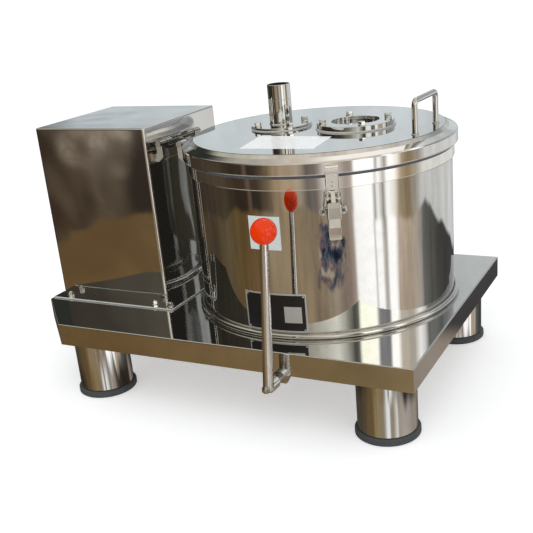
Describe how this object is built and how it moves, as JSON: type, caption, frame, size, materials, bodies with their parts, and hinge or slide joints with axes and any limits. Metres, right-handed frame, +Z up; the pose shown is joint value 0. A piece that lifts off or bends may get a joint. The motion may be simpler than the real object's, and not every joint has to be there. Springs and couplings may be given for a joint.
{
  "type": "basket centrifuge",
  "caption": "Floor-standing centrifuge with a hinged lid over a spinning basket, a box over its motor, draw latches and a hand brake lever.",
  "frame": {"origin": "middle of the overall box on the floor, which is the middle of the deck", "axes": "+X along the deck from the motor end to the drum end, +Y from the lever side to the back, +Z up"},
  "size_m": [0.968, 0.787, 0.654],
  "materials": {
    "polished_steel": "mirror-polished stainless steel",
    "satin_steel": "satin stainless steel",
    "pad_rubber": "matt dark rubber",
    "gasket_rubber": "blue-grey seal",
    "belt_rubber": "matt black belt",
    "red_ball": "glossy orange-red",
    "black_plastic": "matt black",
    "clear_glass": "clear pane",
    "cast_iron": "machined and bare",
    "motor_paint": "plain blue-grey paint"
  },
  "bodies": {
    "base": {"deck_plate": "polished_steel", "skirt_front": "polished_steel", "skirt_back": "polished_steel", "skirt_right": "polished_steel", "skirt_left": "polished_steel", "motor_cover": "polished_steel", "motor_cover_flange": "polished_steel", "cable_gland": "black_plastic", "casing_wall": "polished_steel", "casing_band": "polished_steel", "casing_floor": "satin_steel", "casing_foot_ring": "polished_steel", "drain_outlet": "polished_steel", "motor_body": "motor_paint", "leg_front_right": "polished_steel", "foot_pad_front_right": "pad_rubber", "leg_back_right": "polished_steel", "foot_pad_back_right": "pad_rubber", "leg_front_left": "polished_steel", "foot_pad_front_left": "pad_rubber", "leg_back_left": "polished_steel", "foot_pad_back_left": "pad_rubber", "lid_gasket": "gasket_rubber", "hinge_lug_front": "polished_steel", "hinge_lug_back": "polished_steel", "hinge_pin_front": "satin_steel", "hinge_pin_back": "satin_steel", "latch_base_front": "polished_steel", "latch_base_back": "polished_steel", "bearing_housing": "cast_iron", "drive_belt": "belt_rubber", "brake_bracket_front": "satin_steel", "brake_bracket_rear": "satin_steel"},
    "lid": {"lid_rim": "polished_steel", "lid_disc": "polished_steel", "feed_inlet": "polished_steel", "sight_ring": "polished_steel", "sight_pane": "clear_glass", "lid_handle": "polished_steel", "lid_hinge_leaf": "polished_steel"},
    "basket": {"basket_wall": "satin_steel", "basket_floor": "satin_steel", "basket_lip": "satin_steel", "spindle": "satin_steel", "spindle_pulley": "cast_iron"},
    "motor_rotor": {"motor_pulley": "cast_iron"},
    "brake": {"brake_lever": "polished_steel", "brake_knob": "red_ball", "brake_shaft": "satin_steel"},
    "latch_lever_front": {"latch_lever_front": "polished_steel"},
    "latch_strap_front": {"latch_strap_front": "polished_steel"},
    "latch_lever_back": {"latch_lever_back": "polished_steel"},
    "latch_strap_back": {"latch_strap_back": "polished_steel"}
  },
  "joints": [
    {"name": "lid_hinge", "type": "hinge", "parent": "base", "child": "lid", "pos_m": [-0.146, 0.0259, 0.538], "axis": [0, -1, 0], "range_deg": [0, 90]},
    {"name": "basket_spin", "type": "hinge", "parent": "base", "child": "basket", "pos_m": [0.1613, 0.0259, 0.3], "axis": [0, 0, 1], "continuous": true},
    {"name": "motor_spin", "type": "hinge", "parent": "base", "child": "motor_rotor", "pos_m": [-0.327, 0.0012, 0.12], "axis": [0, 0, 1], "continuous": true},
    {"name": "brake_hinge", "type": "hinge", "parent": "base", "child": "brake", "pos_m": [0.197, -0.3685, 0.1244], "axis": [0, 1, 0], "range_deg": [-15, 15]},
    {"name": "latch_lever_hinge_front", "type": "hinge", "parent": "base", "child": "latch_lever_front", "pos_m": [0.30212, -0.23673, 0.49], "axis": [-0.8813, -0.4726, 0], "range_deg": [0, 80]},
    {"name": "latch_strap_hinge_front", "type": "hinge", "parent": "latch_lever_front", "child": "latch_strap_front", "pos_m": [0.30448, -0.24113, 0.477], "axis": [-0.8813, -0.4726, 0], "range_deg": [-80, 0]},
    {"name": "latch_lever_hinge_back", "type": "hinge", "parent": "base", "child": "latch_lever_back", "pos_m": [0.30212, 0.28853, 0.49], "axis": [0.8813, -0.4726, 0], "range_deg": [0, 80]},
    {"name": "latch_strap_hinge_back", "type": "hinge", "parent": "latch_lever_back", "child": "latch_strap_back", "pos_m": [0.30448, 0.29293, 0.477], "axis": [0.8813, -0.4726, 0], "range_deg": [-80, 0]}
  ],
  "couplings": [
    {"joint": "motor_spin", "follows": "basket_spin", "ratio": 1.4948},
    {"joint": "latch_strap_hinge_front", "follows": "latch_lever_hinge_front", "ratio": -1},
    {"joint": "latch_strap_hinge_back", "follows": "latch_lever_hinge_back", "ratio": -1}
  ]
}
